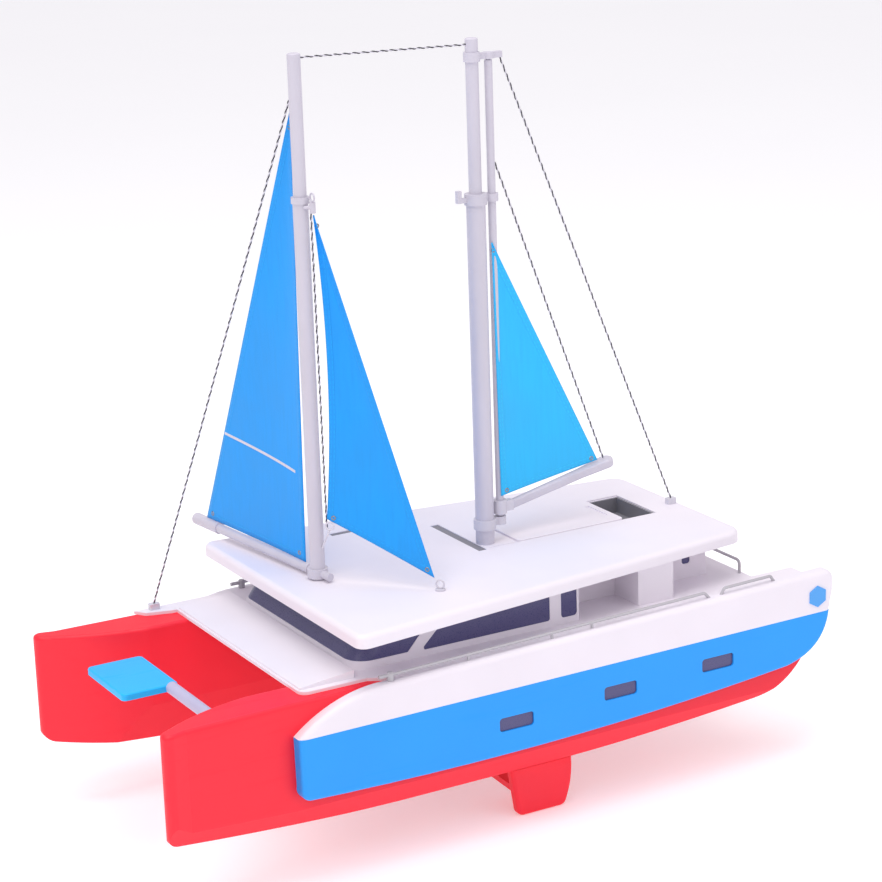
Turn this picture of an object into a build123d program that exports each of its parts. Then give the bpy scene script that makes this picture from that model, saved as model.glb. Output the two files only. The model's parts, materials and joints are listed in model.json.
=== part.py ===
from build123d import *
import math
import os

# Radio-controlled toy catamaran with two masts. Millimetres.
# +X is forward, +Y is to port, +Z is up. The boat stands on the flat feet of its two steering fins.
# Every piece is drawn from the boat's centreline, and moved to the row's origin when it is written.

# ---------------------------------------------------------------- driving dimensions
HULL_LENGTH = 482.0
TRANSOM_X = -235.0       # aft end of the red hulls, inside the longer side panels
HULL_OUTER_Y = 102.0     # outer face of a red hull
HULL_WIDTH = 30.0
DECK_Z = 118.0           # flat top of both hulls
KEEL_Z = 34.0            # lowest point of the hull bottoms
BOW_KEEL_Z = 46.0        # hull bottom at the bow
WALL = 2.2               # moulded shell thickness
PANEL_T = 9.0            # how far a side panel stands out from the red hull
DECK_T = 2.0
ROOF_TOP_Z = 155.0
ROOF_T = 8.5
CABIN_HALF_W = 80.0
FOREMAST_X = 84.0
MAINMAST_X = -40.5
SPAR_X = -52.5           # axis of the turning luff spar behind the mainmast
MAST_TOP_Z = 490.0
FOREMAST_R = 4.9
MAINMAST_R = 6.2
TOPMAST_R = 4.2
SPAR_R = 2.6
BOOM_R = 3.2
SAIL_T = 1.2
STAY_R = 0.7
FIN_X = -24.0            # axis of both steering fins
FIN_Y = HULL_OUTER_Y - HULL_WIDTH / 2
FIN_CHORD = 42.0
FIN_T = 8.0
STOCK_R = 3.0
TRIM_X = 192.0           # axis of the trim plane between the bows
TRIM_Z = 106.0
TRIM_SHAFT_R = 4.0
SERVO = (20.0, 8.8, 17.0)    # length, width and height of a micro servo's case
SERVO_STUB = 2.0         # height of its output stub
SERVO_STUB_X = 5.0       # from the end of the case to the stub's axis
SERVO_EAR = 5.0          # from the case's output face to the middle of its ears
SERVO_EAR_T = 1.4
SERVO_EAR_REACH = 3.5    # how far an ear stands out from the end of the case
POST_R = 1.6             # moulded posts that carry the servos' ears
FIN_SERVO_Z = 62.0       # output face of the fin servos
TRIM_SERVO_Y = HULL_OUTER_Y - 20     # output face of the trim servo
BATTERY = (74.0, 34.0, 13.6)
BATTERY_X = -26.0
CABIN_FRONT_X = 106.0
SPAR_FOOT_Z = 172.0
SPAR_PIN_R = 1.5
SPAR_PIN_L = 4.0         # how deep the lower pin stands in its bearing

# ---------------------------------------------------------------- fits
RUNNING = 0.05           # radial clearance of a turning fit
GAP = 0.4                # clearance between parts that slide or pass each other

# ---------------------------------------------------------------- derived values
BOW_X = HULL_LENGTH / 2
STERN_X = -HULL_LENGTH / 2
HULL_INNER_Y = HULL_OUTER_Y - HULL_WIDTH
PANEL_Y = HULL_OUTER_Y + PANEL_T
ROOF_Z = ROOF_TOP_Z - ROOF_T
FLOOR_Z = DECK_Z + DECK_T
FIN_TOP_Z = KEEL_Z - 1.2

# The row's origin is on the floor under the middle of the whole bounding box. The fore boom reaches
# out to starboard and the topsides reach out astern, so the centreline and midships stand off from it.
TO_ORIGIN = Pos(1.5, 15.4, 0)

SIDES = {"port": 1, "starboard": -1}
parts = {}


def prism_xz(outline, y0, y1):
    """Solid from an outline drawn as (x, z), reaching from y0 to y1."""
    return Pos(0, y1, 0) * extrude(Plane.XZ * outline, y1 - y0, dir=(0, -1, 0))


def prism_xy(outline, z0, z1):
    """Solid from an outline drawn as (x, y), reaching from z0 to z1."""
    return Pos(0, 0, z0) * extrude(outline, z1 - z0, dir=(0, 0, 1))


def prism_yz(outline, x0, x1):
    """Solid from an outline drawn as (y, z), reaching from x0 to x1."""
    return Pos(x0, 0, 0) * extrude(Plane.YZ * outline, x1 - x0, dir=(1, 0, 0))


def block(x0, x1, y0, y1, z0, z1):
    """Plain box between two opposite corners."""
    centre = Pos((x0 + x1) / 2, (y0 + y1) / 2, (z0 + z1) / 2)
    return centre * Box(abs(x1 - x0), abs(y1 - y0), abs(z1 - z0))


def pillar(x, y, z0, z1, radius):
    """Upright cylinder."""
    return Pos(x, y, (z0 + z1) / 2) * Cylinder(radius, z1 - z0)


def cross_bar(x, y0, y1, z, radius):
    """Cylinder that lies along Y."""
    return Pos(x, (y0 + y1) / 2, z) * Rot(90, 0, 0) * Cylinder(radius, y1 - y0)


def polygon(*points):
    """Closed face through the points, on the XY plane."""
    return make_face(Polyline(*points, close=True))


def rounded(face, radius):
    """The face with all its corners rounded."""
    return fillet(face.vertices(), radius)


def straight(start, end, radius):
    """Round bar or tight line between two points."""
    start, end = Vector(*start), Vector(*end)
    along = end - start
    return Plane(origin=start, z_dir=along) * Pos(0, 0, along.length / 2) * Cylinder(radius, along.length)


def bar_through(points, radius, bend):
    """Round bar through the points, with its corners bent to one radius."""
    path = FilletPolyline(*points, radius=bend)
    return sweep(Plane(origin=path @ 0, z_dir=path % 0) * Circle(radius), path)


def servo_post_places(axis_x):
    """X of the two posts of a servo whose stub is at axis_x and whose case reaches forward."""
    aft = axis_x - SERVO_STUB_X
    return (aft - SERVO_EAR_REACH / 2, aft + SERVO[0] + SERVO_EAR_REACH / 2)


def mirror_side(solid, side):
    """A solid made for the port side, moved to the side that is asked for."""
    return solid if side == 1 else mirror(solid, Plane.XZ)


def group(pieces):
    """Several separate solids kept as one node."""
    return Compound([solid for piece in pieces for solid in piece.solids()])


# ---------------------------------------------------------------- hulls
BOW_Y = HULL_OUTER_Y - 4     # inner edge of the blunt bow
BOW_TAPER_X = 132.0      # the inner side starts to curve outwards here
TRANSOM_Z = 96.0


def hull_side_outline():
    """Side view: upright bow, rockered bottom and a stern that curves up."""
    rocker = ThreePointArc((BOW_X, BOW_KEEL_Z), (20, KEEL_Z), (-186, 45))
    stern = TangentArc((-186, 45), (TRANSOM_X, TRANSOM_Z), tangent=rocker % 1)
    ends = Polyline((TRANSOM_X, TRANSOM_Z), (TRANSOM_X, DECK_Z), (BOW_X, DECK_Z), (BOW_X, BOW_KEEL_Z))
    face = make_face(rocker + stern + ends)
    bow_foot = face.vertices().sort_by_distance((BOW_X, BOW_KEEL_Z, 0))[0]
    return fillet(bow_foot, 8)


def hull_plan_outline():
    """Plan view: straight outer side, inner side curving out to a blunt bow."""
    taper = ThreePointArc((BOW_TAPER_X, HULL_INNER_Y), (203, HULL_INNER_Y + 7), (BOW_X, BOW_Y))
    rest = Polyline((BOW_X, BOW_Y), (BOW_X, HULL_OUTER_Y + 6), (226, HULL_OUTER_Y + 2), (156, HULL_OUTER_Y),
                    (TRANSOM_X, HULL_OUTER_Y), (TRANSOM_X, HULL_INNER_Y), (BOW_TAPER_X, HULL_INNER_Y))
    face = make_face(taper + rest)
    bow_corners = face.vertices().group_by(Axis.X)[-1]
    return fillet(bow_corners, 5)


def hull_section_outline():
    """Cross-section: upright sides that turn in to a narrower flat bottom."""
    face = polygon((HULL_INNER_Y, DECK_Z), (HULL_INNER_Y, 64), (HULL_INNER_Y + 7, KEEL_Z),
                   (HULL_OUTER_Y - 7, KEEL_Z), (HULL_OUTER_Y + 6, 62), (HULL_OUTER_Y + 10, DECK_Z))
    return fillet(face.vertices().group_by(Axis.Y)[0], 5)


def hull_block(inset):
    """The hull as one block, shrunk on every side by the inset."""
    views = [hull_side_outline(), hull_plan_outline(), hull_section_outline()]
    if inset:
        views = [offset(view, -inset) for view in views]
    side, plan, section = views
    return (prism_xz(side, HULL_INNER_Y - 5, HULL_OUTER_Y + 20)
            & prism_xy(plan, 0, DECK_Z + 1)
            & prism_yz(section, STERN_X - 5, BOW_X + 5))


FIN_BOSS_R = STOCK_R + 3.5


def make_hull(side):
    """Hollow hull with a bush for the fin, a loading slot under the deck and, to port, the trim bush."""
    outer = hull_block(0)
    top = outer.faces().sort_by(Axis.Z)[-1]
    outer = fillet(top.edges(), 2.6)
    boss = pillar(FIN_X, FIN_Y, KEEL_Z + 1, KEEL_Z + 14, FIN_BOSS_R)
    for x in servo_post_places(FIN_X):
        boss += pillar(x, FIN_Y, KEEL_Z + 1, FIN_SERVO_Z + SERVO_EAR - SERVO_EAR_T / 2, POST_R)
    hull = outer - hull_block(WALL) + boss
    hull -= pillar(FIN_X, FIN_Y, 0, KEEL_Z + 20, STOCK_R + RUNNING)
    hull -= block(-185, 76, HULL_INNER_Y + 5, HULL_OUTER_Y - 5, DECK_Z - WALL - 1, DECK_Z + 1)
    if side == 1:
        bush = cross_bar(TRIM_X, TRIM_SERVO_Y - 10, TRIM_SERVO_Y - SERVO_STUB - 1, TRIM_Z, TRIM_SHAFT_R + 3)
        for x in servo_post_places(TRIM_X - SERVO[0] + 2 * SERVO_STUB_X):
            post_end = TRIM_SERVO_Y + SERVO_EAR - SERVO_EAR_T / 2
            bush += cross_bar(x, TRIM_SERVO_Y - 10, post_end, TRIM_Z, POST_R)
        hull += bush & hull_block(0)
        hull -= cross_bar(TRIM_X, HULL_INNER_Y - 5, TRIM_SERVO_Y, TRIM_Z, TRIM_SHAFT_R + RUNNING)
    return mirror_side(hull, side)


# ---------------------------------------------------------------- side panels, topsides and portlights
PANEL_FRONT_X = 156.0
PORTLIGHTS = ((5, 75.5), (-73, 79.0), (-149, 81.5))
PORTLIGHT_SIZE = (25, 9.2)
PORTLIGHT_DEPTH = 3.0
PANE_FLOOR = 1.5         # wall left round and behind each portlight
COLOUR_LINE = ((PANEL_FRONT_X, 97.5), (STERN_X, 99.5))
CREST_FRONT = (100.0, 119.5)     # the topsides' crest rises in a straight line from here to the stern
CREST_AFT = (STERN_X - 3, 127.5)


def crest_z(x):
    """Height of the topsides' crest."""
    (x0, z0), (x1, z1) = CREST_FRONT, CREST_AFT
    return z0 + (z1 - z0) * (x - x0) / (x1 - x0)


def portlight_blocks(depth, margin):
    """The three rounded blocks of the portlights, reaching inwards from the panel's face."""
    width, height = PORTLIGHT_SIZE
    window = RectangleRounded(width + 2 * margin, height + 2 * margin, 2.2)
    return [prism_xz(Pos(x, z) * window, PANEL_Y - depth, PANEL_Y) for x, z in PORTLIGHTS]


def panel_outline(inset):
    """Side view of the coloured panel, shrunk by the inset; it curves up at the stern."""
    (front_x, front_z), (aft_x, aft_z) = COLOUR_LINE
    low = inset + 55
    bottom = ThreePointArc((149 - inset, low + 2), (-20, low), (-206, low + 11))
    aft = (aft_x + inset, aft_z - inset)
    stern = Bezier((-206, low + 11), (-228 + inset, low + 15), (-239 + inset, 82), aft)
    rest = Polyline(aft, (front_x - inset, front_z - inset), (155.5 - inset, low + 10))
    foot = ThreePointArc((155.5 - inset, low + 10), (153.8 - inset, low + 4), (149 - inset, low + 2))
    return make_face(bottom + stern + rest + foot)


def make_side_panel(side):
    """Lower, coloured half of the raised side: a shell with three recesses."""
    panel = prism_xz(panel_outline(0), HULL_OUTER_Y, PANEL_Y)
    face = panel.faces().sort_by(Axis.Y)[-1]
    rim = face.edges().filter_by(lambda e: e.center().Z < 95 or e.center().X > 150)
    panel = fillet(rim, 2.8)
    hollow = prism_xz(panel_outline(WALL), HULL_OUTER_Y - 1, PANEL_Y - WALL)
    for seat in portlight_blocks(PORTLIGHT_DEPTH + PANE_FLOOR, PANE_FLOOR):
        hollow -= seat
    panel -= hollow
    for recess in portlight_blocks(PORTLIGHT_DEPTH, 0):
        panel -= recess
    return mirror_side(panel, side)


def make_portlights(side):
    """Three dark panes, each seated just below the panel's face."""
    panes = [Pos(0, -1.2, 0) * pane for pane in portlight_blocks(PORTLIGHT_DEPTH - 1.2, 0)]
    return group(mirror_side(pane, side) for pane in panes)


def make_topside(side):
    """White upper half of the raised side: low and round in front, higher towards the stern."""
    front = ThreePointArc(COLOUR_LINE[0], (134.5, 111), CREST_FRONT)
    crest = Polyline(CREST_FRONT, CREST_AFT, (STERN_X - 3, 113), COLOUR_LINE[1], COLOUR_LINE[0])
    face = make_face(front + crest)
    face = fillet(face.vertices().filter_by(lambda v: v.X < STERN_X - 2), 6)
    topside = prism_xz(face, HULL_OUTER_Y, PANEL_Y)
    outer = topside.faces().sort_by(Axis.Y)[-1].edges()
    topside = fillet(outer.filter_by(lambda e: e.center().Z > 101 or e.center().X < STERN_X), 3.6)
    topside -= prism_xz(offset(face, -WALL), HULL_OUTER_Y, PANEL_Y - WALL - 1)
    return mirror_side(topside, side)


BADGE_X, BADGE_Z = -230.0, 111.0


def make_badges():
    """A plain hexagonal badge on each topside, near the stern."""
    outline = Pos(BADGE_X, BADGE_Z) * Rot(0, 0, 90) * RegularPolygon(7.5, 6)
    badge = prism_xz(outline, PANEL_Y, PANEL_Y + 0.8)
    return group(mirror_side(badge, side) for side in SIDES.values())


# ---------------------------------------------------------------- bridge between the hulls
TUB_FRONT_X = 134.0
TUB_FRONT_Z = 108.0      # lower edge of the tub's front end
TUB_CHIN_X = 100.0       # the bottom rises from here to the front end
TUB_AFT_X = -204.0
TUB_BOTTOM_Z = 99.0
TUB_CORNER_R = 10.0
DOOR_X, DOOR_LENGTH, DOOR_WIDTH = -26.0, 96.0, 56.0


def tub_block(inset):
    """The tub as one block, shrunk by the inset at its sides, ends and bottom."""
    half, bottom, top = HULL_INNER_Y - inset, TUB_BOTTOM_Z + inset, DECK_Z + inset
    section = polygon((-half, top), (-half, bottom), (half, bottom), (half, top))
    section = fillet(section.vertices().group_by(Axis.Y)[0], TUB_CORNER_R - inset)
    side = polygon((TUB_AFT_X + inset, top), (TUB_AFT_X + inset, bottom), (TUB_CHIN_X, bottom),
                   (TUB_FRONT_X - inset, TUB_FRONT_Z + inset), (TUB_FRONT_X - inset, top))
    return prism_yz(section, TUB_AFT_X, TUB_FRONT_X) & prism_xz(side, -HULL_INNER_Y, HULL_INNER_Y)


def make_bridge_tub():
    """Open tray that joins the hulls and holds the battery, with the battery door's opening."""
    opening = Pos(DOOR_X, 0, TUB_BOTTOM_Z) * Box(DOOR_LENGTH - 8, DOOR_WIDTH - 8, 10)
    seat = Pos(DOOR_X, 0, TUB_BOTTOM_Z) * Box(DOOR_LENGTH, DOOR_WIDTH, 2.4)
    return tub_block(0) - tub_block(WALL) - opening - seat


def door_screw_places():
    """Where the four screws of the battery door stand."""
    return [(DOOR_X + sx * (DOOR_LENGTH / 2 - 2.2), sy * (DOOR_WIDTH / 2 - 2.2))
            for sx in (-1, 1) for sy in (-1, 1)]


def make_battery_door():
    """Flush door in the bottom of the tub."""
    door = Pos(DOOR_X, 0, TUB_BOTTOM_Z + 0.6) * Box(DOOR_LENGTH - 0.4, DOOR_WIDTH - 0.4, 1.2)
    for x, y in door_screw_places():
        door -= pillar(x, y, TUB_BOTTOM_Z - 1, TUB_BOTTOM_Z + 3, 0.8)
    return door


def make_door_screws():
    """Four pan-head screws that hold the battery door."""
    head = [pillar(x, y, TUB_BOTTOM_Z - 0.8, TUB_BOTTOM_Z, 1.7) for x, y in door_screw_places()]
    shank = [pillar(x, y, TUB_BOTTOM_Z - 0.1, TUB_BOTTOM_Z + 1.2, 0.8) for x, y in door_screw_places()]
    return group(h + s for h, s in zip(head, shank))


FOREDECK_X = 145.0
FOREDECK_HALF_W = HULL_OUTER_Y - 9
DECK_AFT_X = -203.0


def make_deck():
    """Deck moulding: a flat sheet over the hulls and bridge, and a foredeck that slopes up to the cabin.

    Two strips cover the hulls' tops aft of the bridge, and a lug to starboard carries the forestay."""
    half = [(FOREDECK_X, FOREDECK_HALF_W), (CREST_FRONT[0], FOREDECK_HALF_W), (86, HULL_OUTER_Y),
            (DECK_AFT_X, HULL_OUTER_Y)]
    outline = polygon(*half, *[(x, -y) for x, y in reversed(half)])
    front = outline.vertices().filter_by(lambda v: v.X > FOREDECK_X - 1)
    plate = prism_xy(fillet(front, 6), DECK_Z, FLOOR_Z)
    for side in SIDES.values():
        strip = block(TRANSOM_X - 1, DECK_AFT_X + 1, HULL_INNER_Y + 2, HULL_OUTER_Y, DECK_Z, FLOOR_Z)
        plate += mirror_side(strip, side)
    edge = -HULL_OUTER_Y
    lug = polygon((80, edge), (170, edge), (165, edge + 8), (148, edge + 13), (80, edge + 13))
    plate += prism_xy(lug, DECK_Z, FLOOR_Z)
    aft = CABIN_FRONT_X + 0.2
    slope = polygon((FOREDECK_X - 1, FLOOR_Z - 0.5), (FOREDECK_X - 1.5, FLOOR_Z + 1.2),
                    (aft, FLOOR_Z + 5), (aft, FLOOR_Z - 0.5))
    foredeck = prism_xz(slope, -FOREDECK_HALF_W + 5, FOREDECK_HALF_W - 5)
    hole = prism_xy(rounded(Pos(-30, 0) * Rectangle(190, 104), 8), DECK_Z - 1, FLOOR_Z + 1)
    return plate + foredeck - hole


# ---------------------------------------------------------------- cabin
CABIN_RAKE = 20.0        # how far the top of the windscreen leans back
CABIN_AFT_X = -137.0
CABIN_WALL = 2.4
CABIN_FRONT_R = 14.0     # corners of the plan, in front and aft
CABIN_AFT_R = 3.0
NICHE_X = (-108.0, -62.0)
NICHE_DEPTH = 28.0
AFT_HOUSE_X = -181.0
AFT_HOUSE_HALF_W = 52.0
SILL_Z = 125.0


def cabin_block(inset, z0, z1):
    """Block with rounded corners whose front leans back, shrunk sideways by the inset."""
    faces = []
    for z in (z0, z1):
        front = CABIN_FRONT_X - CABIN_RAKE * (z - FLOOR_Z) / (ROOF_Z - FLOOR_Z) - inset
        aft = CABIN_AFT_X + inset
        plan = Rectangle(front - aft, 2 * (CABIN_HALF_W - inset))
        plan = fillet(plan.vertices().group_by(Axis.X)[-1], CABIN_FRONT_R - inset)
        plan = fillet(plan.vertices().group_by(Axis.X)[0], CABIN_AFT_R - inset)
        faces.append(Pos((front + aft) / 2, 0, z) * plan)
    return loft(faces)


def windscreen_zone():
    """Everything in front of the slanted posts and above the sill."""
    side = polygon((140, SILL_Z), (64, SILL_Z), (64 - (ROOF_Z - SILL_Z) * 0.9, ROOF_Z), (140, ROOF_Z))
    return prism_xz(side, -100, 100)


def long_window():
    """Outline of the long side window, with its slanted front end."""
    face = polygon((55, SILL_Z - 1), (37, ROOF_Z - 5), (-40, ROOF_Z - 3.5), (-40, SILL_Z - 1))
    return rounded(face, 1.6)


def small_window():
    """Outline of the small window behind the long one."""
    return Pos(-54.5, SILL_Z + 8.5) * RectangleRounded(12, 19, 2.5)


def house_window():
    """Outline of the little window in the aft house."""
    return Pos(-165, SILL_Z + 10) * RectangleRounded(6.5, 9.5, 2)


def window_cutters(outline, near, far):
    """The outline as a block on both sides of the cabin, from near to far off the centreline."""
    cutter = prism_xz(outline, near, far)
    return [cutter, mirror(cutter, Plane.XZ)]


def make_cabin_shell():
    """Cabin walls with a side niche each side, a narrower aft house, and openings for the panes."""
    shell = cabin_block(0, FLOOR_Z, ROOF_Z) - cabin_block(CABIN_WALL, FLOOR_Z, ROOF_Z)
    house = block(AFT_HOUSE_X, CABIN_AFT_X + CABIN_WALL, -AFT_HOUSE_HALF_W, AFT_HOUSE_HALF_W, FLOOR_Z, ROOF_Z)
    room = AFT_HOUSE_HALF_W - CABIN_WALL
    house -= block(AFT_HOUSE_X + CABIN_WALL, 0, -room, room, FLOOR_Z, ROOF_Z)
    shell += house
    shell -= block(CABIN_AFT_X - 1, CABIN_AFT_X + CABIN_WALL + 1, -room, room, FLOOR_Z, ROOF_Z)
    for side in SIDES.values():
        back = CABIN_HALF_W - NICHE_DEPTH
        liner = block(NICHE_X[0] - CABIN_WALL, NICHE_X[1] + CABIN_WALL, back - CABIN_WALL, CABIN_HALF_W - 1,
                      FLOOR_Z, ROOF_Z)
        shell += mirror_side(liner, side)
        niche = block(NICHE_X[0], NICHE_X[1], back, CABIN_HALF_W + 5, FLOOR_Z, ROOF_Z)
        shell -= mirror_side(niche, side)
    shell -= windscreen_zone()
    for outline, near in ((long_window(), 70), (small_window(), 70), (house_window(), 45)):
        for cutter in window_cutters(outline, near, 90):
            shell -= cutter
    return shell


PANE_SET_BACK = 0.4


def make_windscreen():
    """Dark pane that wraps round the front of the cabin."""
    skin = cabin_block(PANE_SET_BACK, FLOOR_Z, ROOF_Z) - cabin_block(CABIN_WALL, FLOOR_Z, ROOF_Z)
    return skin & windscreen_zone()


def make_cabin_windows():
    """Long, small and aft-house panes of both sides."""
    panes = []
    wall = CABIN_HALF_W - CABIN_WALL
    for outline in (long_window(), small_window()):
        panes += window_cutters(outline, wall, CABIN_HALF_W - PANE_SET_BACK)
    panes += window_cutters(house_window(), AFT_HOUSE_HALF_W - CABIN_WALL, AFT_HOUSE_HALF_W - PANE_SET_BACK)
    return group(panes)


# ---------------------------------------------------------------- roof, vents and sliding hatch
ROOF_FRONT_X, ROOF_FRONT_HALF_W = 114.0, 113.0
ROOF_AFT_X, ROOF_AFT_HALF_W = -196.0, 75.0
ROOF_SKIN = 2.2
HATCH_Y = -13.0
HATCH_WIDTH = 48.0
HATCH_X = (-143.0, -59.5)
HATCH_T = 1.8
HATCH_TRAVEL = 25.0
TRACK_DEPTH = 1.0
TRAY_X = (-167.4, -112.0)
TRAY_WIDTH = 44.0
TRAY_FLOOR_Z = 142.0
TRAY_WALL = 1.6
VENTS = ((-31.0, -19.5, 6.0, 65.0), (27.5, -74.0, 18.0, 5.0))
VENT_DEPTH = 1.0
CABLE_GROOVE = 0.6       # width and depth of the fine groove ahead of the hatch


def roof_outline():
    """Plan of the roof: wide visor in front, narrower aft, with rounded corners."""
    face = polygon((ROOF_FRONT_X, ROOF_FRONT_HALF_W), (ROOF_AFT_X, ROOF_AFT_HALF_W),
                   (ROOF_AFT_X, -ROOF_AFT_HALF_W), (ROOF_FRONT_X, -ROOF_FRONT_HALF_W))
    front = face.vertices().group_by(Axis.X)[-1]
    return fillet(fillet(front, 7).vertices().group_by(Axis.X)[0], 12)


def tray_block(margin, z0, z1):
    """Inside of the hatch tray as a block, grown sideways by the margin."""
    half = TRAY_WIDTH / 2 + margin
    return block(TRAY_X[0] - margin, TRAY_X[1] + margin, HATCH_Y - half, HATCH_Y + half, z0, z1)


def make_roof():
    """Hollowed roof slab with soft edges, hatch track, tray opening, vent pockets and a fine groove."""
    roof = prism_xy(roof_outline(), ROOF_Z, ROOF_TOP_Z)
    roof = fillet(roof.faces().sort_by(Axis.Z)[-1].edges(), 3.5)
    rim = prism_xy(offset(roof_outline(), -5), ROOF_Z - 1, ROOF_TOP_Z - ROOF_SKIN)
    seat = block(AFT_HOUSE_X - 4, CABIN_FRONT_X - 10, -CABIN_HALF_W - 4, CABIN_HALF_W + 4, 0, 200)
    inner_y = CABIN_HALF_W - NICHE_DEPTH - 6
    room = block(CABIN_AFT_X + 8, NICHE_X[1] + 6, -inner_y, inner_y, 0, 200)
    room += block(NICHE_X[1] + 6, CABIN_FRONT_X - CABIN_RAKE - 8, -CABIN_HALF_W + 6, CABIN_HALF_W - 6, 0, 200)
    roof -= rim - seat
    roof -= rim & room
    deep = ROOF_TOP_Z - TRACK_DEPTH
    half = HATCH_WIDTH / 2 + GAP
    roof -= block(HATCH_X[0] - HATCH_TRAVEL - 1, HATCH_X[1] + 1, HATCH_Y - half, HATCH_Y + half, deep, 200)
    roof -= tray_block(TRAY_WALL, ROOF_Z - 1, 200)
    edge = HATCH_Y + HATCH_WIDTH / 2
    roof -= block(HATCH_X[1], -37, edge - CABLE_GROOVE, edge, ROOF_TOP_Z - CABLE_GROOVE, 200)
    for x, y, length, width in VENTS:
        roof -= block(x - length / 2, x + length / 2, y - width / 2, y + width / 2,
                      ROOF_TOP_Z - VENT_DEPTH, 200)
    return roof


def make_roof_vents():
    """Grey inlays at the bottom of the two vent pockets."""
    depth = VENT_DEPTH - 0.5
    top = ROOF_TOP_Z - 0.5
    return group(block(x - length / 2, x + length / 2, y - width / 2, y + width / 2, top - depth, top)
                 for x, y, length, width in VENTS)


def make_sliding_hatch():
    """Thin cover that slides aft over the tray, with a shallow finger groove."""
    z0 = ROOF_TOP_Z - TRACK_DEPTH + 0.1
    cover = block(*HATCH_X, HATCH_Y - HATCH_WIDTH / 2, HATCH_Y + HATCH_WIDTH / 2, z0, z0 + HATCH_T)
    cover = fillet(cover.edges().filter_by(Axis.Z), 3)
    cover = fillet(cover.faces().sort_by(Axis.Z)[-1].edges(), 0.6)
    return cover - block(HATCH_X[0] + 5, HATCH_X[0] + 8, HATCH_Y - 12, HATCH_Y + 12, z0 + HATCH_T - 0.6, 200)


def make_hatch_tray():
    """Open tray that lines the opening in the roof and holds the power switch."""
    tray = tray_block(TRAY_WALL, TRAY_FLOOR_Z, ROOF_TOP_Z - TRACK_DEPTH)
    return tray - tray_block(0, TRAY_FLOOR_Z + TRAY_WALL, 200)


SWITCH_X, SWITCH_Y = -132.0, 0.0
SWITCH_Z = TRAY_FLOOR_Z + TRAY_WALL
SWITCH_CASE_H = 7.0
SWITCH_TRAVEL = 3.0


def make_switch_case():
    """Case of the power switch, with a slot for its slider."""
    case = block(SWITCH_X - 8, SWITCH_X + 8, SWITCH_Y - 4, SWITCH_Y + 4, SWITCH_Z, SWITCH_Z + SWITCH_CASE_H)
    slot = block(SWITCH_X - 5, SWITCH_X + 5, SWITCH_Y - 2, SWITCH_Y + 2, SWITCH_Z + 3, SWITCH_Z + 20)
    return case - slot


def make_switch_slider():
    """Thumb slider of the power switch, shown switched off."""
    half = 5 - GAP / 2 - SWITCH_TRAVEL / 2
    x = SWITCH_X - SWITCH_TRAVEL / 2
    foot = block(x - half, x + half, SWITCH_Y - 1.7, SWITCH_Y + 1.7, SWITCH_Z + 3.1, SWITCH_Z + 6)
    thumb_z = SWITCH_Z + SWITCH_CASE_H + 2.5
    return foot + block(x - 1.5, x + 1.5, SWITCH_Y - 1.7, SWITCH_Y + 1.7, SWITCH_Z + 5, thumb_z)


# ---------------------------------------------------------------- masts
FORE_COLLAR_Z = 398.0
MAIN_COLLAR_Z = 382.0
CRANE_Z = 474.0
SPAR_TOP_Z = CRANE_Z - 1.0
TUBE_WALL = 1.0


def make_foremast():
    """Foremast tube: thicker lower length, slimmer topmast and a foot ring on the roof."""
    lower = pillar(FOREMAST_X, 0, ROOF_TOP_Z, FORE_COLLAR_Z, FOREMAST_R)
    upper = pillar(FOREMAST_X, 0, FORE_COLLAR_Z, MAST_TOP_Z, TOPMAST_R)
    mast = lower + upper
    mast -= pillar(FOREMAST_X, 0, ROOF_TOP_Z - 1, MAST_TOP_Z - 4, TOPMAST_R - TUBE_WALL)
    return fillet(mast.edges().sort_by(Axis.Z)[-1], 1.2)


def make_foremast_collar():
    """Ring where the lower foremast meets the topmast."""
    ring = pillar(FOREMAST_X, 0, FORE_COLLAR_Z, FORE_COLLAR_Z + 4, FOREMAST_R + 0.9)
    return ring - pillar(FOREMAST_X, 0, 0, 500, TOPMAST_R)


def make_mainmast_lower():
    """Lower mainmast tube."""
    tube = pillar(MAINMAST_X, 0, ROOF_TOP_Z, MAIN_COLLAR_Z, MAINMAST_R)
    return tube - pillar(MAINMAST_X, 0, ROOF_TOP_Z - 1, MAIN_COLLAR_Z + 1, TOPMAST_R)


def make_mainmast_upper():
    """Slimmer upper mainmast that plugs into the lower tube."""
    top = MAST_TOP_Z - 2
    tube = pillar(MAINMAST_X, 0, MAIN_COLLAR_Z - 30, top, TOPMAST_R)
    tube -= pillar(MAINMAST_X, 0, 0, top - 4, TOPMAST_R - TUBE_WALL)
    return fillet(tube.edges().sort_by(Axis.Z)[-1], 1.2)


def spar_eye(z0, z1, outer_r):
    """Bearing eye round the luff spar."""
    return pillar(SPAR_X, 0, z0, z1, outer_r)


def make_mainmast_collar():
    """Collar between the two mast tubes, with the middle bearing of the spar and a forward hook."""
    z0, z1 = MAIN_COLLAR_Z, MAIN_COLLAR_Z + 7
    collar = pillar(MAINMAST_X, 0, z0, z1, MAINMAST_R + 1.2)
    collar += block(SPAR_X, MAINMAST_X, -2, 2, z0 + 1, z1 - 1) + spar_eye(z0 + 1, z1 - 1, SPAR_R + 1.6)
    hook_x = MAINMAST_X + 14
    collar += block(MAINMAST_X, hook_x, -1.6, 1.6, z0 + 2, z0 + 5)
    collar += block(hook_x - 3, hook_x, -1.6, 1.6, z0 + 2, z0 + 10)
    return collar - pillar(MAINMAST_X, 0, 0, 500, TOPMAST_R) - pillar(SPAR_X, 0, 0, 500, SPAR_R + RUNNING)


CRANE_TIP_X = -62.0


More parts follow.
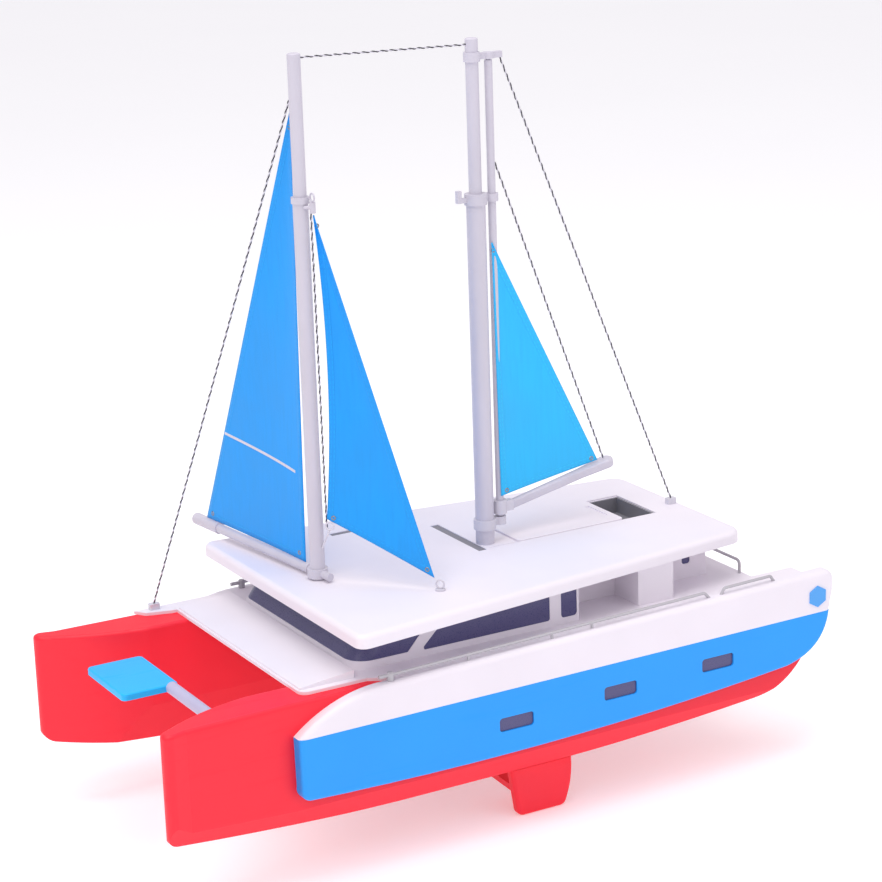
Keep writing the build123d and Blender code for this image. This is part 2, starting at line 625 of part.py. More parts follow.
def make_masthead_crane():
    """Arm at the masthead: top bearing of the spar and anchor of the backstay."""
    z0, z1 = CRANE_Z, CRANE_Z + 4
    crane = pillar(MAINMAST_X, 0, z0 - 1, z1 + 1, TOPMAST_R + 1.2)
    crane += block(CRANE_TIP_X, MAINMAST_X, -1.8, 1.8, z0, z1) + spar_eye(z0, z1, SPAR_R + 1.2)
    pin_hole = pillar(SPAR_X, 0, 0, z0 + 3, SPAR_PIN_R + RUNNING)
    return crane - pillar(MAINMAST_X, 0, 0, 500, TOPMAST_R) - pin_hole


# ---------------------------------------------------------------- main rig, which turns with the luff spar
GOOSENECK_Z = 178.0
BOOM_END = (-141.0, 0.0, 195.0)
MAINSAIL_HEAD_Z = 357.0
MAINSAIL_LUFF = (-49.6, 3.5)      # X and Y of the mainsail's upright edge
MAINSAIL_CLEW = (-129.0, 0.8, 197.0)
MAINSAIL_TACK_Z = 186.0


def make_spar_heel_bracket():
    """Bracket low on the mainmast, with the lower bearing of the spar."""
    z0, z1 = SPAR_FOOT_Z - 7, SPAR_FOOT_Z - GAP
    bracket = pillar(MAINMAST_X, 0, z0, z1, MAINMAST_R + 1.2)
    bracket += block(SPAR_X, MAINMAST_X, -2.2, 2.2, z0 + 1, z1) + spar_eye(z0 + 1, z1, SPAR_R + 1.2)
    pin_hole = pillar(SPAR_X, 0, z1 - SPAR_PIN_L - GAP, 200, SPAR_PIN_R + RUNNING)
    return bracket - pillar(MAINMAST_X, 0, 0, 500, MAINMAST_R) - pin_hole


def make_luff_spar():
    """Turning spar from the heel bracket up to the masthead crane, with a thin pin at each end."""
    spar = pillar(SPAR_X, 0, SPAR_FOOT_Z, SPAR_TOP_Z, SPAR_R)
    return spar + pillar(SPAR_X, 0, SPAR_FOOT_Z - GAP - SPAR_PIN_L, CRANE_Z + 2.5, SPAR_PIN_R)


def make_main_gooseneck():
    """Clamp that fixes the main boom to the spar."""
    clamp = pillar(SPAR_X, 0, GOOSENECK_Z - 4.5, GOOSENECK_Z + 4.5, SPAR_R + 2)
    clamp += block(SPAR_X - 9, SPAR_X, -2.6, 2.6, GOOSENECK_Z - 3.4, GOOSENECK_Z + 3.4)
    return clamp - pillar(SPAR_X, 0, 0, 500, SPAR_R)


def make_main_boom():
    """Boom that rises aft and widens into a rounded paddle end."""
    start = Vector(SPAR_X - 9, 0, GOOSENECK_Z)
    end = Vector(*BOOM_END)
    length = (end - start).length
    half = polygon((0, 2.4), (length - 26, 3.4), (length, 6.4),
                   (length, -6.4), (length - 26, -3.4), (0, -2.4))
    half = fillet(half.vertices().group_by(Axis.X)[-1], 5.5)
    top = Plane(origin=start, x_dir=end - start, z_dir=(end - start).cross(Vector(0, 1, 0)))
    boom = extrude(top * half, 3.0, both=True)
    return fillet(boom.edges().filter_by(lambda e: e.length > 20), 1.6)


def make_mainsail():
    """Flat triangle laced to the port side of the spar and reaching aft to the end of the boom."""
    along = Vector(MAINSAIL_CLEW[0] - MAINSAIL_LUFF[0], MAINSAIL_CLEW[1] - MAINSAIL_LUFF[1], 0)
    frame = Plane(origin=(*MAINSAIL_LUFF, 0), x_dir=along, z_dir=along.cross(Vector(0, 0, 1)))
    face = polygon((0, MAINSAIL_HEAD_Z), (along.length, MAINSAIL_CLEW[2]), (2, MAINSAIL_TACK_Z))
    return extrude(frame * face, SAIL_T / 2, both=True)


def make_topping_lift():
    """Tight line from high on the spar to the boom's end."""
    return straight((SPAR_X - SPAR_R, 0, 408), (-134, 0, 197.5), STAY_R)


# ---------------------------------------------------------------- fore rig, which swings round the foremast
FORE_BOOM_YAW = -82.0    # degrees from straight ahead; the boom points to starboard
FORE_BOOM_Z = ROOF_TOP_Z + 4.0   # on the mast's axis; the boom rises outwards
FORE_BOOM_END_Z = ROOF_TOP_Z + 7.0
FORE_SLEEVE_X = 114.0    # a thicker sleeve covers the boom from here to its end
FORE_SLEEVE_R = BOOM_R + 0.8
FORE_BOOM_LENGTH = 144.0
FORESAIL_HEAD_Z = 454.0
FORESAIL_CLEW_R = 129.0
FORESAIL_LUFF = FOREMAST_R + 2.2


def fore_frame():
    """Frame of the fore boom: X along the boom from the mast's axis, Y up, on the sail's plane."""
    yaw = math.radians(FORE_BOOM_YAW)
    return Plane(origin=(FOREMAST_X, 0, 0), x_dir=(math.cos(yaw), math.sin(yaw), 0),
                 z_dir=(math.sin(yaw), -math.cos(yaw), 0))


def fore_point(r, z):
    """Point on the foresail's plane, r out from the mast's axis."""
    yaw = math.radians(FORE_BOOM_YAW)
    return (FOREMAST_X + r * math.cos(yaw), r * math.sin(yaw), z)


def boom_point(r, rise=0):
    """Point on the fore boom's axis, or above it by the rise."""
    return fore_point(r, FORE_BOOM_Z + (FORE_BOOM_END_Z - FORE_BOOM_Z) * r / FORE_BOOM_LENGTH + rise)


def make_fore_gooseneck():
    """Ring that turns round the foot of the foremast, with a short tail behind it."""
    z0, z1 = FORE_BOOM_Z - 3.0, FORE_BOOM_Z + 3.0
    ring = pillar(FOREMAST_X, 0, z0, z1, FOREMAST_R + 1.8)
    ring += straight(boom_point(-14), boom_point(8.5), BOOM_R - 0.6)
    return ring - pillar(FOREMAST_X, 0, 0, 500, FOREMAST_R + RUNNING)


def make_fore_boom():
    """Round boom with a sleeve over its outer length and a rounded end."""
    boom = straight(boom_point(8.5), boom_point(FORE_BOOM_LENGTH), BOOM_R)
    boom += straight(boom_point(FORE_SLEEVE_X), boom_point(FORE_BOOM_LENGTH), FORE_SLEEVE_R)
    end = boom.edges().sort_by_distance(boom_point(FORE_BOOM_LENGTH))[0]
    return fillet(end, BOOM_R - 0.8)


def make_foresail():
    """Flat triangle from the foremast to the end of the fore boom."""
    tack = boom_point(FORESAIL_LUFF + 6, BOOM_R + 0.1)
    clew = boom_point(FORESAIL_CLEW_R, FORE_SLEEVE_R + 0.3)
    face = polygon((FORESAIL_LUFF, FORESAIL_HEAD_Z), (FORESAIL_CLEW_R, clew[2]), (FORESAIL_LUFF + 6, tack[2]))
    return extrude(fore_frame() * face, SAIL_T / 2, both=True)


# ---------------------------------------------------------------- jib and its fittings
JIB_HEAD = (80.0, 8.5, 392.0)
JIB_TACK = (79.0, 10.0, 196.0)
JIB_CLEW = (34.0, 63.0, 163.0)
EYE_R = 2.6
EYE_WIRE_R = 0.6


def eye(centre, axis):
    """Small wire ring."""
    return Plane(origin=centre, z_dir=axis) * Torus(EYE_R, EYE_WIRE_R)


def make_jib():
    """Flat triangle set out to port, with a hollow luff."""
    across = Vector(JIB_CLEW[0] - JIB_HEAD[0], JIB_CLEW[1] - JIB_HEAD[1], 0).normalized()
    frame = Plane(origin=(JIB_HEAD[0], JIB_HEAD[1], 0), x_dir=across, z_dir=across.cross(Vector(0, 0, 1)))
    reach = math.dist(JIB_HEAD[:2], JIB_CLEW[:2])
    luff = ThreePointArc((0, JIB_TACK[2]), (5, (JIB_TACK[2] + JIB_HEAD[2]) / 2), (0, JIB_HEAD[2]))
    rest = Polyline((0, JIB_HEAD[2]), (reach, JIB_CLEW[2]), (0, JIB_TACK[2]))
    return extrude(frame * make_face(luff + rest), SAIL_T / 2, both=True)


def make_jib_head_fitting():
    """Bracket on the foremast collar: a short barrel for the jib's head, and a ring above it."""
    arm = straight((FOREMAST_X, FOREMAST_R - 0.4, 396.0), (JIB_HEAD[0], JIB_HEAD[1], 396.0), 1.2)
    barrel = pillar(JIB_HEAD[0], JIB_HEAD[1], 392.6, 399.4, 1.9)
    ring = eye((JIB_HEAD[0], JIB_HEAD[1], 402.2), (1, 0, 0))
    return arm + barrel + ring - pillar(FOREMAST_X, 0, 0, 500, FOREMAST_R)


def make_jib_luff_rope():
    """Tight luff rope from the head fitting down to the tack line's ring."""
    head = (JIB_HEAD[0] + 0.6, JIB_HEAD[1] - 1.6, 393)
    return straight(head, (JIB_TACK[0] + 0.8, JIB_TACK[1] - 2.6, 189), 0.6)


def make_jib_tack_line():
    """Ring under the jib's tack, and the short line that holds it down to the foremast."""
    ring = eye((JIB_TACK[0], JIB_TACK[1], 191.6), (1, 1, 0))
    line = straight((JIB_TACK[0], JIB_TACK[1], 189.2), (FOREMAST_X - 1.5, FOREMAST_R - 0.2, 176), 0.6)
    return ring + line - pillar(FOREMAST_X, 0, 0, 500, FOREMAST_R)


def make_jib_clew_eye():
    """Eye on the roof that the jib's clew is hooked to."""
    x, y = JIB_CLEW[0] - 2.4, JIB_CLEW[1] + 2.9
    pad = pillar(x, y, ROOF_TOP_Z, ROOF_TOP_Z + 1.2, 3.2)
    return pad + eye((x, y, ROOF_TOP_Z + 1 + EYE_R + EYE_WIRE_R), (1, 1, 0))


# ---------------------------------------------------------------- stays, rails and deck fittings
CHAINPLATE_FORE = (157.0, -HULL_OUTER_Y + 3.5, FLOOR_Z)
CHAINPLATE_AFT = (-189.0, 0.0, ROOF_TOP_Z)
CHAINPLATE_H = 4.0


def make_triatic_stay():
    """Tight line between the two mastheads."""
    fore = (FOREMAST_X - TOPMAST_R, 0, MAST_TOP_Z - 3)
    return straight(fore, (MAINMAST_X + TOPMAST_R, 0, MAST_TOP_Z - 6), STAY_R)


def make_backstay():
    """Tight line from the masthead crane to the aft edge of the roof."""
    x, y, z = CHAINPLATE_AFT
    return straight((CRANE_TIP_X + 1, 0, CRANE_Z), (x, y, z + CHAINPLATE_H), STAY_R)


def make_forestay():
    """Tight line from high on the foremast to the starboard bow."""
    x, y, z = CHAINPLATE_FORE
    yaw = math.atan2(y, x - FOREMAST_X)
    reach = TOPMAST_R
    head = (FOREMAST_X + reach * math.cos(yaw), reach * math.sin(yaw), 462)
    return straight(head, (x, y, z + CHAINPLATE_H), STAY_R)


def make_chainplates():
    """Small blocks that the backstay and the forestay are fastened to."""
    blocks = [block(x - 3.5, x + 3.5, y - 2.5, y + 2.5, z, z + CHAINPLATE_H)
              for x, y, z in (CHAINPLATE_AFT, CHAINPLATE_FORE)]
    return group(fillet(piece.edges().filter_by(Axis.Z), 1.2) for piece in blocks)


RAIL_R = 1.0
RAIL_Y = HULL_OUTER_Y + 2.5
RAIL_H = 3.8             # from the topsides' crest to the rail's axis
RAIL_SINK = 0.6          # how deep the feet stand in the topsides
RAIL_X = (-143.0, 88.6)
SHORT_RAIL_X = (-196.0, -159.0)
STANCHIONS = (35.0, -26.0, -56.0)


def make_handrail(side):
    """Long rail on three stanchions that starts at the bollard, and a short rail behind it."""
    aft, front = RAIL_X
    foot = aft - 4
    rail = bar_through([(front, RAIL_Y, crest_z(front) + RAIL_H), (aft, RAIL_Y, crest_z(aft) + RAIL_H),
                        (foot, RAIL_Y, crest_z(foot) - RAIL_SINK)], RAIL_R, 2.5)
    for x in STANCHIONS:
        rail += pillar(x, RAIL_Y, crest_z(x) - RAIL_SINK, crest_z(x) + RAIL_H, 0.9)
    aft, front = SHORT_RAIL_X
    short = bar_through([(front + 3, RAIL_Y, crest_z(front) - RAIL_SINK),
                         (front, RAIL_Y, crest_z(front) + RAIL_H),
                         (aft, RAIL_Y, crest_z(aft) + RAIL_H),
                         (aft - 3, RAIL_Y, crest_z(aft) - RAIL_SINK)], RAIL_R, 2)
    return group(mirror_side(piece, side) for piece in (rail, short))


AFT_RAIL_X, AFT_RAIL_HALF_W, AFT_RAIL_Z = -200.5, 64.0, 129.0


def make_aft_rail():
    """Rail across the aft edge of the deck."""
    w, z = AFT_RAIL_HALF_W, AFT_RAIL_Z
    rail = bar_through([(AFT_RAIL_X, -w, FLOOR_Z), (AFT_RAIL_X, -w, z), (AFT_RAIL_X, w, z),
                        (AFT_RAIL_X, w, FLOOR_Z)], RAIL_R, 3)
    for y in (-w / 3, w / 3):
        rail += pillar(AFT_RAIL_X, y, FLOOR_Z, z, 0.9)
    return rail


BOLLARD_X = 90.0


def make_deck_cleats():
    """A bollard with one forward horn on each topside, at the front end of the long rail."""
    z = crest_z(BOLLARD_X)
    post = pillar(BOLLARD_X, RAIL_Y, z - RAIL_SINK, z + RAIL_H + 2, 2.2)
    post = fillet(post.edges().sort_by(Axis.Z)[-1], 1)
    horn = straight((BOLLARD_X, RAIL_Y, z + RAIL_H), (BOLLARD_X + 8, RAIL_Y, z + RAIL_H), 1.2)
    return group(mirror_side(post + horn, side) for side in SIDES.values())


# ---------------------------------------------------------------- steering fins
FOIL_Z = 19.0
FOIL_SPAN = 28.0


def make_fin(side):
    """Steering fin with a curved aft edge, and its stub foil on the inboard side."""
    lead, trail = FIN_X + FIN_CHORD / 2 + 1, FIN_X - FIN_CHORD / 2 - 3
    aft_edge = ThreePointArc((trail, FIN_TOP_Z), (trail + 0.8, 16), (trail + 6, 0))
    rest = Polyline((trail + 6, 0), (lead - 5, 0), (lead, FIN_TOP_Z), (trail, FIN_TOP_Z))
    outline = make_face(aft_edge + rest)
    outline = fillet(outline.vertices().group_by(Axis.Y)[0], 5)
    fin = prism_xz(outline, FIN_Y - FIN_T / 2, FIN_Y + FIN_T / 2)
    uprights = fin.edges().filter_by(lambda e: abs(e.center().Z - FIN_TOP_Z / 2) < 10 and e.length > 15)
    fin = fillet(uprights, 2.6)
    foil_plan = polygon((lead - 2.4, FIN_Y), (lead - 4, FIN_Y - FIN_T / 2 - FOIL_SPAN),
                        (lead - 22, FIN_Y - FIN_T / 2 - FOIL_SPAN), (lead - 30, FIN_Y))
    foil = prism_xy(foil_plan, FOIL_Z - 2, FOIL_Z + 2)
    tip = foil.edges().filter_by(Axis.Z).group_by(Axis.Y)[0]
    fin += fillet(tip, 4)
    fin -= pillar(FIN_X, FIN_Y, FIN_TOP_Z - 14, FIN_TOP_Z + 1, STOCK_R)
    return mirror_side(fin, side)


def make_fin_stock(side):
    """Steel stock from the fin up to its servo."""
    stock = pillar(FIN_X, FIN_Y, FIN_TOP_Z - 14, FIN_SERVO_Z - SERVO_STUB - GAP, STOCK_R)
    return mirror_side(stock, side)


# ---------------------------------------------------------------- trim plane between the bows
TRIM_CHORD = 38.0
TRIM_TIP_Y, TRIM_ROOT_Y = -53.0, 6.0
TRIM_PIN_R = 1.2


def make_trim_plane():
    """Flat paddle blade with a bevelled edge, hinged near its aft edge."""
    aft = TRIM_X - 5
    plan = rounded(polygon((aft, TRIM_TIP_Y), (aft + TRIM_CHORD, TRIM_TIP_Y), (aft + TRIM_CHORD, TRIM_ROOT_Y),
                           (aft, TRIM_ROOT_Y)), 3.5)
    blade = prism_xy(plan, TRIM_Z - 2.2, TRIM_Z + 2.2)
    blade = fillet(blade.faces().sort_by(Axis.Z)[-1].edges(), 1.2)
    return blade - cross_bar(TRIM_X, TRIM_ROOT_Y - 12, TRIM_ROOT_Y + 12, TRIM_Z, TRIM_PIN_R)


def make_trim_shaft():
    """Shaft from the trim servo to the blade, with a thin pin inside the blade."""
    end = TRIM_SERVO_Y - SERVO_STUB - GAP
    shaft = cross_bar(TRIM_X, TRIM_ROOT_Y, end, TRIM_Z, TRIM_SHAFT_R)
    return shaft + cross_bar(TRIM_X, TRIM_ROOT_Y - 12, TRIM_ROOT_Y + 12, TRIM_Z, TRIM_PIN_R)


# ---------------------------------------------------------------- electrics
def servo():
    """Micro servo standing on its base, its output stub on the origin's axis and pointing up."""
    length, width, height = SERVO
    x = length / 2 - SERVO_STUB_X
    body = Pos(x, 0, -height / 2) * Box(length, width, height)
    ears = Pos(x, 0, -SERVO_EAR) * Box(length + 2 * SERVO_EAR_REACH, width, SERVO_EAR_T)
    return body + ears + Pos(0, 0, SERVO_STUB / 2) * Cylinder(2.2, SERVO_STUB)


def make_servos():
    """One servo for each fin, and the trim servo."""
    fins = [Pos(FIN_X, side * FIN_Y, FIN_SERVO_Z) * Rot(180, 0, 0) * servo() for side in SIDES.values()]
    trim = Pos(TRIM_X, TRIM_SERVO_Y, TRIM_Z) * Rot(90, 0, 0) * Rot(0, 0, 180) * servo()
    return group([*fins, trim])


def make_battery_pack():
    """Two-cell battery pack lying on the tub's floor."""
    length, width, height = BATTERY
    z0 = TUB_BOTTOM_Z + WALL
    pack = block(BATTERY_X - length / 2, BATTERY_X + length / 2, -width / 2, width / 2, z0, z0 + height)
    return fillet(pack.edges().filter_by(Axis.X), 3)


def make_receiver():
    """Radio receiver on the tub's floor."""
    z0 = TUB_BOTTOM_Z + WALL
    case = block(-110, -78, -11, 11, z0, z0 + 9)
    return fillet(case.edges().filter_by(Axis.Z), 1.5)


# ---------------------------------------------------------------- all nodes
def build():
    """Make every node."""
    for name, side in SIDES.items():
        parts[f"{name}_hull"] = make_hull(side)
        parts[f"{name}_side_panel"] = make_side_panel(side)
        parts[f"{name}_topside"] = make_topside(side)
        parts[f"{name}_portlights"] = make_portlights(side)
        parts[f"{name}_handrail"] = make_handrail(side)
        parts[f"{name}_fin"] = make_fin(side)
        parts[f"{name}_fin_stock"] = make_fin_stock(side)
    parts["side_badges"] = make_badges()
    parts["bridge_tub"] = make_bridge_tub()
    parts["battery_door"] = make_battery_door()
    parts["battery_door_screws"] = make_door_screws()
    parts["deck"] = make_deck()
    parts["cabin_shell"] = make_cabin_shell()
    parts["windscreen"] = make_windscreen()
    parts["cabin_windows"] = make_cabin_windows()
    parts["roof"] = make_roof()
    parts["roof_vents"] = make_roof_vents()
    parts["sliding_hatch"] = make_sliding_hatch()
    parts["hatch_tray"] = make_hatch_tray()
    parts["power_switch_case"] = make_switch_case()
    parts["power_switch_slider"] = make_switch_slider()
    parts["foremast"] = make_foremast()
    parts["foremast_collar"] = make_foremast_collar()
    parts["mainmast_lower"] = make_mainmast_lower()
    parts["mainmast_upper"] = make_mainmast_upper()
    parts["mainmast_collar"] = make_mainmast_collar()
    parts["masthead_crane"] = make_masthead_crane()
    parts["spar_heel_bracket"] = make_spar_heel_bracket()
    parts["luff_spar"] = make_luff_spar()
    parts["main_gooseneck"] = make_main_gooseneck()
    parts["main_boom"] = make_main_boom()
    parts["mainsail"] = make_mainsail()
    parts["topping_lift"] = make_topping_lift()
    parts["fore_gooseneck"] = make_fore_gooseneck()
    parts["fore_boom"] = make_fore_boom()
    parts["foresail"] = make_foresail()
    parts["jib"] = make_jib()
    parts["jib_head_fitting"] = make_jib_head_fitting()
    parts["jib_luff_rope"] = make_jib_luff_rope()
    parts["jib_tack_line"] = make_jib_tack_line()
    parts["jib_clew_eye"] = make_jib_clew_eye()
    parts["triatic_stay"] = make_triatic_stay()
    parts["backstay"] = make_backstay()
    parts["forestay"] = make_forestay()
    parts["chainplates"] = make_chainplates()
    parts["aft_rail"] = make_aft_rail()
    parts["deck_cleats"] = make_deck_cleats()
    parts["trim_plane"] = make_trim_plane()
    parts["trim_shaft"] = make_trim_shaft()
    parts["servos"] = make_servos()
    parts["battery_pack"] = make_battery_pack()
    parts["receiver"] = make_receiver()


build()
os.makedirs("parts", exist_ok=True)
for name, solid in parts.items():
    export_step(TO_ORIGIN * solid, f"parts/{name}.step")
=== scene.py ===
import json
import math

import bpy
from mathutils import Matrix, Vector


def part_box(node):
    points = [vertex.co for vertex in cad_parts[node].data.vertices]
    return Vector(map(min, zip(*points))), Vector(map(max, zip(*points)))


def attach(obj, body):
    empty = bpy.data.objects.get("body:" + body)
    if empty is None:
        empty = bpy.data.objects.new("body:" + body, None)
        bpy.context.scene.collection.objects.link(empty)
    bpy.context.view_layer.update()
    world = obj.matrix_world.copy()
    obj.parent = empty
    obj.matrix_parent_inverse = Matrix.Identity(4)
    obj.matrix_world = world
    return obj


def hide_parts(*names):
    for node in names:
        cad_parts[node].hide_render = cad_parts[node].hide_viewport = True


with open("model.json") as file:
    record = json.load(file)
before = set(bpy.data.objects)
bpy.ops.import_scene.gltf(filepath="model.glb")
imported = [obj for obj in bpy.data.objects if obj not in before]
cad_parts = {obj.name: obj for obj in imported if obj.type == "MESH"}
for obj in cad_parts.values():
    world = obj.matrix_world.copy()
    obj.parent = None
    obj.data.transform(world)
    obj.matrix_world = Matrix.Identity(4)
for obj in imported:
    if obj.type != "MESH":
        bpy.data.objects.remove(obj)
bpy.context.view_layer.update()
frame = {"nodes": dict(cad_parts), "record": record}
NODES = frame["nodes"]
MM = 0.001


# ---------------------------------------------------------------- places, read from the CAD nodes
def middle(node):
    """Centre of a node's box."""
    lo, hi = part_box(node)
    return (Vector(lo) + Vector(hi)) / 2


def corners(node):
    """All points of a node's mesh."""
    return [v.co.copy() for v in NODES[node].data.vertices]


END_DEPTH = 1.2 * MM     # points this near a bar's end belong to its end face


def bar_ends(node):
    """The two ends of a straight bar, read from its mesh."""
    points = corners(node)
    far = max(points, key=lambda p: (p - points[0]).length)
    other = max(points, key=lambda p: (p - far).length)
    axis = (far - other).normalized()
    reach = sorted(p.dot(axis) for p in points)
    low = [p for p in points if p.dot(axis) < reach[0] + END_DEPTH]
    high = [p for p in points if p.dot(axis) > reach[-1] - END_DEPTH]
    return sum(low, Vector()) / len(low), sum(high, Vector()) / len(high)


ROOF = middle("roof")
BOW_TO_MIDSHIPS = 241 * MM
CENTRE = Vector((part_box("port_hull")[1][0] - BOW_TO_MIDSHIPS, ROOF.y, 0))
FOREMAST = middle("foremast")
MAINMAST = middle("mainmast_lower")


# ---------------------------------------------------------------- camera
PICTURE_PX = 882
LENS_PX = 2600           # focal length, in widths of a pixel
SENSOR_MM = 36
AZIMUTH, ELEVATION, ROLL = 29.3, 16.0, -1.9
DISTANCE = 1.684
AIM = CENTRE + Vector((-8.7, 1.2, 230.6)) * MM


def make_camera():
    """Camera forward of the port beam, a little above the roof, with a slight roll."""
    az, el, roll = (math.radians(v) for v in (AZIMUTH, ELEVATION, ROLL))
    back = Vector((math.sin(az) * math.cos(el), math.cos(az) * math.cos(el), math.sin(el)))
    right = (-back).cross(Vector((0, 0, 1))).normalized()
    up = right.cross(-back)
    turned_right = right * math.cos(roll) + up * math.sin(roll)
    turned_up = up * math.cos(roll) - right * math.sin(roll)
    data = bpy.data.cameras.new("camera")
    data.sensor_width = SENSOR_MM
    data.lens = SENSOR_MM * LENS_PX / PICTURE_PX
    data.clip_start, data.clip_end = 0.05, 50
    camera = bpy.data.objects.new("camera", data)
    bpy.context.collection.objects.link(camera)
    turn = Matrix((turned_right, turned_up, back)).transposed()
    camera.matrix_world = Matrix.Translation(AIM + back * DISTANCE) @ turn.to_4x4()
    bpy.context.scene.camera = camera


make_camera()


# ---------------------------------------------------------------- materials
def linear(code):
    """Linear colour of an sRGB code."""
    values = [int(code[i:i + 2], 16) / 255 for i in (1, 3, 5)]
    return [v / 12.92 if v <= 0.04045 else ((v + 0.055) / 1.055) ** 2.4 for v in values] + [1]


def shade(colour, factor):
    """The colour, lighter or darker."""
    return [min(1, c * factor) for c in colour[:3]] + [1]


class Shader:
    """Small helper for building a node material."""

    def __init__(self, name, colour, roughness, metallic=0.0):
        self.material = bpy.data.materials.new(name)
        self.material.use_nodes = True
        self.tree = self.material.node_tree
        self.bsdf = self.tree.nodes["Principled BSDF"]
        self.bsdf.inputs["Base Color"].default_value = colour
        self.bsdf.inputs["Roughness"].default_value = roughness
        self.bsdf.inputs["Metallic"].default_value = metallic
        self.material.diffuse_color = colour
        self.place = self.node("ShaderNodeTexCoord").outputs["Object"]

    def node(self, kind, **values):
        made = self.tree.nodes.new(kind)
        for key, value in values.items():
            setattr(made, key, value)
        return made

    def link(self, source, target):
        self.tree.links.new(source, target)

    def noise(self, scale, detail=3.0, rough=0.5, stretch=None, place=None):
        """Noise of the given scale in features per metre."""
        made = self.node("ShaderNodeTexNoise")
        made.inputs["Scale"].default_value = scale
        made.inputs["Detail"].default_value = detail
        made.inputs["Roughness"].default_value = rough
        place = place or self.place
        if stretch:
            mapping = self.node("ShaderNodeMapping")
            mapping.inputs["Scale"].default_value = stretch
            self.link(place, mapping.inputs["Vector"])
            place = mapping.outputs["Vector"]
        self.link(place, made.inputs["Vector"])
        return made.outputs["Fac"]

    def remap(self, source, low, high, to_low, to_high):
        made = self.node("ShaderNodeMapRange")
        for index, value in enumerate((low, high, to_low, to_high), 1):
            made.inputs[index].default_value = value
        self.link(source, made.inputs[0])
        return made.outputs[0]

    def maths(self, operation, first, second=0.5):
        made = self.node("ShaderNodeMath", operation=operation)
        for socket, value in zip(made.inputs, (first, second)):
            if isinstance(value, (int, float)):
                socket.default_value = value
            else:
                self.link(value, socket)
        return made.outputs[0]

    def mix(self, factor, first, second):
        made = self.node("ShaderNodeMix", data_type="RGBA")
        for socket, value in ((made.inputs[0], factor), (made.inputs[6], first), (made.inputs[7], second)):
            if isinstance(value, (list, tuple, float, int)):
                socket.default_value = value
            else:
                self.link(value, socket)
        return made.outputs[2]

    def edge(self, radius, full=0.25):
        """1 along edges that are sharper than the radius, 0 elsewhere."""
        bevel = self.node("ShaderNodeBevel", samples=4)
        bevel.inputs["Radius"].default_value = radius
        geometry = self.node("ShaderNodeNewGeometry")
        dot = self.node("ShaderNodeVectorMath", operation="DOT_PRODUCT")
        self.link(bevel.outputs[0], dot.inputs[0])
        self.link(geometry.outputs["Normal"], dot.inputs[1])
        return self.remap(dot.outputs["Value"], 1.0, 1.0 - full, 0.0, 1.0)

    def bump(self, height, strength, distance, under=None):
        made = self.node("ShaderNodeBump")
        made.inputs["Strength"].default_value = strength
        made.inputs["Distance"].default_value = distance
        self.link(height, made.inputs["Height"])
        if under is not None:
            self.link(under, made.inputs["Normal"])
        return made.outputs["Normal"]

    def finish(self, colour=None, roughness=None, normal=None):
        for name, value in (("Base Color", colour), ("Roughness", roughness), ("Normal", normal)):
            if value is not None:
                self.link(value, self.bsdf.inputs[name])
        return self.material


def moulded(name, code, roughness, mottle=0.05, grain=0.10, worn=1.12, coat=0.0):
    """Moulded plastic: faint flow mottling, fine spark texture, slightly rubbed edges and light scuffs."""
    base = linear(code)
    s = Shader(name, base, roughness)
    flow = s.noise(22, 2.0, 0.5)
    fine = s.noise(1900, 2.0, 0.6)
    colour = s.mix(s.remap(flow, 0.3, 0.7, 0, 1), shade(base, 1 - mottle), shade(base, 1 + mottle))
    speck = s.remap(s.noise(700, 1.0, 0.5), 0.62, 0.72, 0, 0.35)
    colour = s.mix(s.maths("MULTIPLY", speck, mottle * 6), colour, shade(base, 0.86))
    rub = s.maths("MULTIPLY", s.edge(0.0011), s.remap(s.noise(160, 3.0, 0.6), 0.35, 0.65, 0.25, 1))
    colour = s.mix(s.maths("MULTIPLY", rub, 0.55), colour, shade(base, worn))
    scuff = s.remap(s.noise(90, 4.0, 0.65, stretch=(0.18, 1.0, 2.2)), 0.58, 0.74, 0, 1)
    rough = s.remap(fine, 0.3, 0.7, roughness - 0.05, roughness + 0.05)
    rough = s.maths("ADD", rough, s.maths("MULTIPLY", scuff, 0.12))
    s.bsdf.inputs["Coat Weight"].default_value = coat
    s.bsdf.inputs["Coat Roughness"].default_value = 0.25
    ripple = s.bump(s.noise(60, 2.0, 0.5), 0.10, 0.0004)
    return s.finish(colour, rough, s.bump(fine, grain, 0.00006, ripple))


def drawn_tube(name, code, roughness):
    """Drawn and lacquered tube: fine lines along its length, and a faint handling sheen."""
    base = linear(code)
    s = Shader(name, base, roughness)
    lines = s.noise(900, 2.0, 0.6, stretch=(1.0, 1.0, 0.02))
    clouds = s.noise(45, 3.0, 0.55, stretch=(1.0, 1.0, 0.3))
    colour = s.mix(s.remap(clouds, 0.35, 0.65, 0, 1), shade(base, 0.955), shade(base, 1.02))
    sheen = s.noise(140, 3.0, 0.6, stretch=(1.0, 1.0, 0.2))
    rough = s.remap(sheen, 0.35, 0.65, roughness - 0.08, roughness + 0.08)
    return s.finish(colour, rough, s.bump(lines, 0.12, 0.00005))


def metal(name, code, roughness):
    """Turned or drawn steel with fine lines round it."""
    base = linear(code)
    s = Shader(name, base, roughness, 1.0)
    lines = s.noise(1400, 2.0, 0.6, stretch=(0.05, 0.05, 1.0))
    colour = s.mix(s.remap(s.noise(80, 3.0, 0.6), 0.35, 0.65, 0, 1), shade(base, 0.9), shade(base, 1.06))
    rough = s.remap(lines, 0.3, 0.7, roughness - 0.08, roughness + 0.1)
    return s.finish(colour, rough, s.bump(lines, 0.15, 0.00004))


THREAD_PITCH = 0.55 * MM
HEM_WIDTH = 4.2 * MM
STITCH_PITCH = 3.2 * MM
STITCH_HALF_WIDTH = 0.22 * MM
STITCH_ROWS = (1.4 * MM, 3.6 * MM)     # distance of each row from the sail's edge


